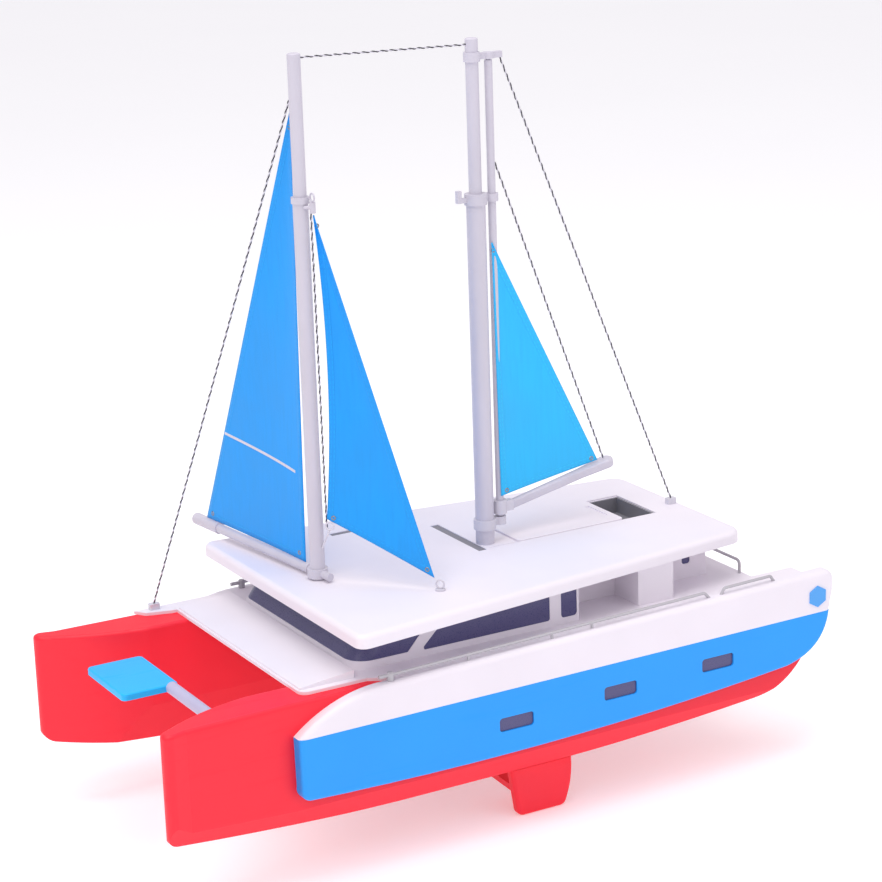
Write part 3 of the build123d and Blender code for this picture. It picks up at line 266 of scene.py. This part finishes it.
def sailcloth(name, code):
    """Plain-woven sailcloth with soft creases, slightly darker hems and two rows of stitches."""
    base = linear(code)
    s = Shader(name, base, 0.62)
    flat = s.node("ShaderNodeUVMap", uv_map="flat").outputs["UV"]
    split = s.node("ShaderNodeSeparateXYZ")
    s.link(flat, split.inputs[0])
    thread = 2 * math.pi / THREAD_PITCH
    warp = s.maths("SINE", s.maths("MULTIPLY", split.outputs[0], thread))
    weft = s.maths("SINE", s.maths("MULTIPLY", split.outputs[1], thread))
    weave = s.maths("MULTIPLY", warp, weft)
    cloud = s.noise(16, 3.0, 0.55)
    slub = s.noise(420, 2.0, 0.6, stretch=(1.0, 0.08, 1.0), place=flat)
    colour = s.mix(s.remap(cloud, 0.3, 0.7, 0, 1), shade(base, 0.93), shade(base, 1.05))
    colour = s.mix(s.remap(slub, 0.4, 0.7, 0, 0.5), colour, shade(base, 0.88))
    colour = s.mix(s.remap(weave, -1, 1, 0, 0.35), colour, shade(base, 0.90))
    edge = s.node("ShaderNodeAttribute", attribute_name="hem").outputs["Fac"]
    inside = s.remap(edge, HEM_WIDTH, HEM_WIDTH + 0.4 * MM, 1, 0)
    colour = s.mix(s.maths("MULTIPLY", inside, 0.5), colour, shade(base, 0.90))
    run = s.node("ShaderNodeAttribute", attribute_name="along").outputs["Fac"]
    beat = s.maths("SINE", s.maths("MULTIPLY", run, 2 * math.pi / STITCH_PITCH))
    dash = s.maths("GREATER_THAN", beat, -0.35)
    stitches = None
    for row in STITCH_ROWS:
        off = s.maths("ABSOLUTE", s.maths("SUBTRACT", edge, row))
        line = s.maths("MULTIPLY", s.maths("LESS_THAN", off, STITCH_HALF_WIDTH), dash)
        stitches = line if stitches is None else s.maths("MAXIMUM", stitches, line)
    colour = s.mix(s.maths("MULTIPLY", stitches, 0.5), colour, shade(base, 1.35))
    s.bsdf.inputs["Sheen Weight"].default_value = 0.08
    s.bsdf.inputs["Sheen Roughness"].default_value = 0.5
    rough = s.remap(cloud, 0.3, 0.7, 0.56, 0.70)
    crease = s.bump(s.noise(9, 3.0, 0.5), 0.25, 0.004)
    fold = s.bump(inside, 0.5, 0.0004, crease)
    return s.finish(colour, rough, s.bump(weave, 0.18, 0.00008, fold))


def cordage(name, code):
    """Laid yarn: fibres along the strand and slightly uneven colour."""
    base = linear(code)
    s = Shader(name, base, 0.75)
    fibre = s.noise(2600, 2.0, 0.7)
    colour = s.mix(s.remap(fibre, 0.3, 0.7, 0, 1), shade(base, 0.75), shade(base, 1.2))
    return s.finish(colour, None, s.bump(fibre, 0.4, 0.0001))


MATERIALS = {
    "hull_red": moulded("hull_red", "#F91A33", 0.48, 0.025),
    "hull_blue": moulded("hull_blue", "#109BF6", 0.48, 0.02),
    "shell_white": moulded("shell_white", "#EDE7EF", 0.48, 0.015, worn=1.04),
    "window_navy": moulded("window_navy", "#4C4977", 0.30, 0.02, 0.03, 1.15, 0.2),
    "vent_grey": moulded("vent_grey", "#85838A", 0.55, 0.04, 0.16),
    "rail_grey": moulded("rail_grey", "#B7B4BA", 0.38, 0.03, 0.06),
    "fitting_grey": moulded("fitting_grey", "#D2CFD9", 0.40, 0.04, 0.08),
    "fitting_blue": moulded("fitting_blue", "#4DA3EE", 0.36, 0.04, 0.08),
    "paddle_blue": moulded("paddle_blue", "#0CB8FF", 0.42, 0.03),
    "shaft_lilac": moulded("shaft_lilac", "#BDBAD6", 0.38, 0.03, 0.06),
    "inner_black": moulded("inner_black", "#26262B", 0.5, 0.06, 0.12, 1.5),
    "battery_wrap": moulded("battery_wrap", "#2B3F6B", 0.3, 0.05, 0.05, 1.3, 0.5),
    # The spars are white; their base colour is set to the darker lilac grey of their shaded sides: painted
    # shade.
    "spar_white": drawn_tube("spar_white", "#CCC8D4", 0.36),
    "steel": metal("steel", "#9A9CA2", 0.34),
    "sail_blue": sailcloth("sail_blue", "#009FF8"),
    "sail_light": sailcloth("sail_light", "#22BEFF"),
    "stay_cord": cordage("stay_cord", "#3E3D45"),
    "rope_white": cordage("rope_white", "#D9D6E0"),
}

SLOTS = {entry["node"]: entry["material_slot"] for entry in frame["record"]["subparts"]}


def dress(node):
    """Gives a CAD node the finish of its material slot."""
    data = NODES[node].data
    data.materials.clear()
    data.materials.append(MATERIALS[SLOTS[node]])


for name in NODES:
    dress(name)


# ---------------------------------------------------------------- new pieces
def add_mesh(name, points, faces, material, body, smooth=True):
    """A new mesh piece that rides on a body."""
    data = bpy.data.meshes.new(name)
    data.from_pydata([tuple(p) for p in points], [], faces)
    data.materials.append(MATERIALS[material])
    for face in data.polygons:
        face.use_smooth = smooth
    piece = bpy.data.objects.new(name, data)
    bpy.context.collection.objects.link(piece)
    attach(piece, body)
    return piece


STEPS_PER_TURN = 10
STRAND_SIDES = 7


def helix_strand(name, start, end, phase, radius, offset, pitch, material, body):
    """One strand of a twisted cord, as a round tube that winds round the line from start to end."""
    along = end - start
    length = along.length
    axis = along.normalized()
    side = axis.orthogonal().normalized()
    up = axis.cross(side)
    steps = max(12, int(length / pitch * STEPS_PER_TURN))
    ring = STRAND_SIDES
    points, faces = [], []
    for i in range(steps + 1):
        t = i / steps
        angle = phase + 2 * math.pi * length * t / pitch
        out = side * math.cos(angle) + up * math.sin(angle)
        round_way = side * -math.sin(angle) + up * math.cos(angle)
        lay = (axis * pitch + round_way * 2 * math.pi * offset).normalized()
        third = lay.cross(out)
        centre = start + along * t + out * offset
        for j in range(ring):
            turn = 2 * math.pi * j / ring
            points.append(centre + (out * math.cos(turn) + third * math.sin(turn)) * radius)
    for i in range(steps):
        for j in range(ring):
            a, b = i * ring + j, i * ring + (j + 1) % ring
            faces.append((a, b, b + ring, a + ring))
    faces.append(tuple(range(ring))[::-1])
    faces.append(tuple(steps * ring + j for j in range(ring)))
    return add_mesh(name, points, faces, material, body)


def twisted(node, body, dark="stay_cord", light="rope_white", radius=0.40, offset=0.34, pitch=6.5):
    """Two-strand twisted cord in place of a straight CAD cord."""
    start, end = bar_ends(node)
    strands = [helix_strand(f"{node}_strand_{i}", start, end, math.pi * i, radius * MM, offset * MM,
                            pitch * MM, colour, body)
               for i, colour in enumerate((dark, light))]
    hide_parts(node)


EYELET_HOLE_R = 0.7
EYELET_RIM = 0.5         # half the width of the ring
EYELET_HALF_T = 0.42 * 1.6


def eyelet(name, centre, normal, body):
    """Pressed ring in a sail's corner."""
    points, faces = [], []
    side = normal.orthogonal().normalized()
    up = normal.cross(side)
    around, tube = 20, 8
    for i in range(around):
        a = 2 * math.pi * i / around
        out = side * math.cos(a) + up * math.sin(a)
        for j in range(tube):
            b = 2 * math.pi * j / tube
            reach = EYELET_HOLE_R + EYELET_RIM + EYELET_RIM * math.cos(b)
            points.append(centre + out * reach * MM + normal * EYELET_HALF_T * math.sin(b) * MM)
    for i in range(around):
        for j in range(tube):
            k, m = (i + 1) % around, (j + 1) % tube
            faces.append((i * tube + j, k * tube + j, k * tube + m, i * tube + m))
    return add_mesh(name, points, faces, "steel", body)


CLOTH_T = 0.5 * MM
TAPE_OFF = 0.42 * MM     # from the cloth's middle to a tape's outer face
HEAD_CUT = 0.004         # share of the height cut off at the head, so that the cloth ends in an edge


class Sail:
    """Triangular sail read from its flat CAD sheet."""

    def __init__(self, node, body, material, belly, mast):
        self.node, self.body, self.material, self.belly = node, body, material, belly
        points = corners(node)
        self.head = self.near(points, max(points, key=lambda p: p.z))
        self.clew = self.near(points, max(points, key=lambda p: (p.xy - mast.xy).length))
        self.tack = self.near(points, max(points, key=lambda p: self.off_line(p)))
        across = self.clew - self.head
        across.z = 0
        self.across = across.normalized()
        self.normal = self.across.cross(Vector((0, 0, 1))).normalized()
        middle_z = (self.head.z + self.tack.z) / 2
        luff = [p for p in points if abs(p.z - middle_z) < 12 * MM]
        straight = (self.head + self.tack) / 2
        self.hollow = max((sum(luff, Vector()) / len(luff) - straight).dot(self.across), 0) if luff else 0

    @staticmethod
    def near(points, target):
        """Middle of the points within a sheet's thickness of the target."""
        close = [p for p in points if (p - target).length < 2 * MM]
        return sum(close, Vector()) / len(close)

    def off_line(self, point):
        """Distance from the leech."""
        along = (self.clew - self.head).normalized()
        gap = point - self.head
        return (gap - along * gap.dot(along)).length

    def point(self, t, s):
        """Point at t from head to foot and s from luff to leech."""
        luff = self.head.lerp(self.tack, t) + self.across * self.hollow * 4 * t * (1 - t)
        leech = self.head.lerp(self.clew, t)
        depth = self.belly * math.sin(math.pi * min(1, s) ** 0.8) * math.sin(math.pi * (0.08 + 0.84 * t))
        return luff.lerp(leech, s) + self.normal * depth

    def build(self, rows=90, columns=36):
        """Sheet of cloth with its flat coordinates, hem distance and run along the edges."""
        grid = [(max(HEAD_CUT, i / rows), j / columns) for i in range(rows + 1) for j in range(columns + 1)]
        points = [self.point(t, s) for t, s in grid]
        faces = []
        for i in range(rows):
            for j in range(columns):
                a = i * (columns + 1) + j
                faces.append((a, a + 1, a + columns + 2, a + columns + 1))
        piece = add_mesh(self.node + "_cloth", points, faces, self.material, self.body)
        data = piece.data
        flat = data.uv_layers.new(name="flat")
        for loop in data.loops:
            p = points[loop.vertex_index]
            flat.data[loop.index].uv = ((p - self.tack).dot(self.across), p.z - self.tack.z)
        hem = data.attributes.new("hem", "FLOAT", "POINT")
        run = data.attributes.new("along", "FLOAT", "POINT")
        for k, (t, s) in enumerate(grid):
            p = points[k]
            to_luff = (p - self.point(t, 0)).length * 0.985
            to_leech = self.off_line(p)
            foot = (self.clew - self.tack).normalized()
            gap = p - self.tack
            to_foot = (gap - foot * gap.dot(foot)).length
            nearest = min(to_luff, to_leech, to_foot)
            hem.data[k].value = nearest
            run.data[k].value = gap.dot(foot) if nearest == to_foot else p.z
        thick = piece.modifiers.new("thickness", "SOLIDIFY")
        thick.thickness = CLOTH_T
        thick.offset = 0
        return piece

    def area(self):
        """Flat area of the cut."""
        return (self.tack - self.head).cross(self.clew - self.head).length / 2

    def tape(self, name, start, end, width, material, steps=24):
        """Thin tape sewn across both faces of the cloth, from one (t, s) to another."""
        points, faces = [], []
        for i in range(steps + 1):
            k = i / steps
            t = start[0] + (end[0] - start[0]) * k
            s = start[1] + (end[1] - start[1]) * k
            p = self.point(t, s)
            ahead = self.point(t + (end[0] - start[0]) * 0.01, s + (end[1] - start[1]) * 0.01) - p
            up = ahead.normalized().cross(self.normal) * width / 2
            for side in (-1, 1):
                for off in (-TAPE_OFF, TAPE_OFF):
                    points.append(p + up * side + self.normal * off)
        for i in range(steps):
            a, b = 4 * i, 4 * i + 4
            faces += [(a, b, b + 1, a + 1), (a + 1, b + 1, b + 3, a + 3), (a + 3, b + 3, b + 2, a + 2),
                      (a + 2, b + 2, b, a)]
        faces += [(0, 1, 3, 2), (4 * steps, 4 * steps + 2, 4 * steps + 3, 4 * steps + 1)]
        return add_mesh(name, points, faces, material, self.body, smooth=False)


def corner_eyelets(sail):
    """Rings in the three corners of a sail."""
    places = {"head": (0.035, 0.5), "tack": (0.985, 0.06), "clew": (0.985, 0.95)}
    return [eyelet(f"{sail.node}_{name}_eyelet", sail.point(*place), sail.normal, sail.body)
            for name, place in places.items()]


def make_sails():
    """The three sails."""
    fore = Sail("foresail", "fore_rig", "sail_blue", 3.0 * MM, FOREMAST)
    main = Sail("mainsail", "main_rig", "sail_light", -3.0 * MM, MAINMAST)
    jib = Sail("jib", "boat", "sail_blue", -4.0 * MM, FOREMAST)
    for sail in (fore, main, jib):
        cloth = sail.build()
        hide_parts(sail.node)
        extra = corner_eyelets(sail)
        if sail is fore:
            extra.append(sail.tape("foresail_seam_tape", (0.80, 0.10), (0.775, 0.99), 1.8 * MM, "rope_white"))
        sail.area()


make_sails()
for node, body in (("triatic_stay", "boat"), ("backstay", "boat"), ("forestay", "boat"),
                   ("topping_lift", "main_rig"), ("jib_luff_rope", "boat")):
    twisted(node, body)


# ---------------------------------------------------------------- floor and light
FLOOR_HALF_WIDTH = 30


def make_stage():
    """Wide pale floor under the boat's feet."""
    data = bpy.data.meshes.new("floor")
    size = FLOOR_HALF_WIDTH
    points = [(-size, -size, 0), (size, -size, 0), (size, size, 0), (-size, size, 0)]
    data.from_pydata(points, [], [(0, 1, 2, 3)])
    s = Shader("floor", [0.95, 0.95, 0.96, 1], 0.9)
    tone = s.mix(s.noise(3, 2.0), [0.88, 0.88, 0.895, 1], [0.90, 0.90, 0.91, 1])
    s.bsdf.inputs["Emission Color"].default_value = (1, 1, 1, 1)
    s.bsdf.inputs["Emission Strength"].default_value = 0.28
    data.materials.append(s.finish(tone))
    floor = bpy.data.objects.new("floor", data)
    bpy.context.collection.objects.link(floor)


def area_light(name, place, target, size, power, colour):
    """Soft square light."""
    data = bpy.data.lights.new(name, "AREA")
    data.size = size
    data.energy = power
    data.color = colour
    light = bpy.data.objects.new(name, data)
    bpy.context.collection.objects.link(light)
    light.location = place
    light.rotation_mode = "QUATERNION"
    light.rotation_quaternion = (target - light.location).to_track_quat("-Z", "Y")


def make_light():
    """White room with a slightly lilac fill, a large soft key light from ahead and a soft light overhead."""
    world = bpy.data.worlds.new("world")
    world.use_nodes = True
    background = world.node_tree.nodes["Background"]
    background.inputs["Color"].default_value = (0.985, 0.955, 1.0, 1)
    background.inputs["Strength"].default_value = 0.70
    bpy.context.scene.world = world
    bpy.context.scene.view_settings.view_transform = "Standard"
    target = CENTRE + Vector((0, 0, 0.2))
    area_light("key", target + Vector((1.6, 0.9, 1.9)), target, 1.2, 13, (1.0, 0.98, 0.96))
    area_light("overhead", target + Vector((0.2, 0.1, 1.8)), target, 1.4, 16, (1.0, 0.985, 0.985))
    area_light("fill", target + Vector((-1.6, 1.9, 0.9)), target, 1.6, 5, (0.95, 0.94, 1.0))


make_stage()
make_light()
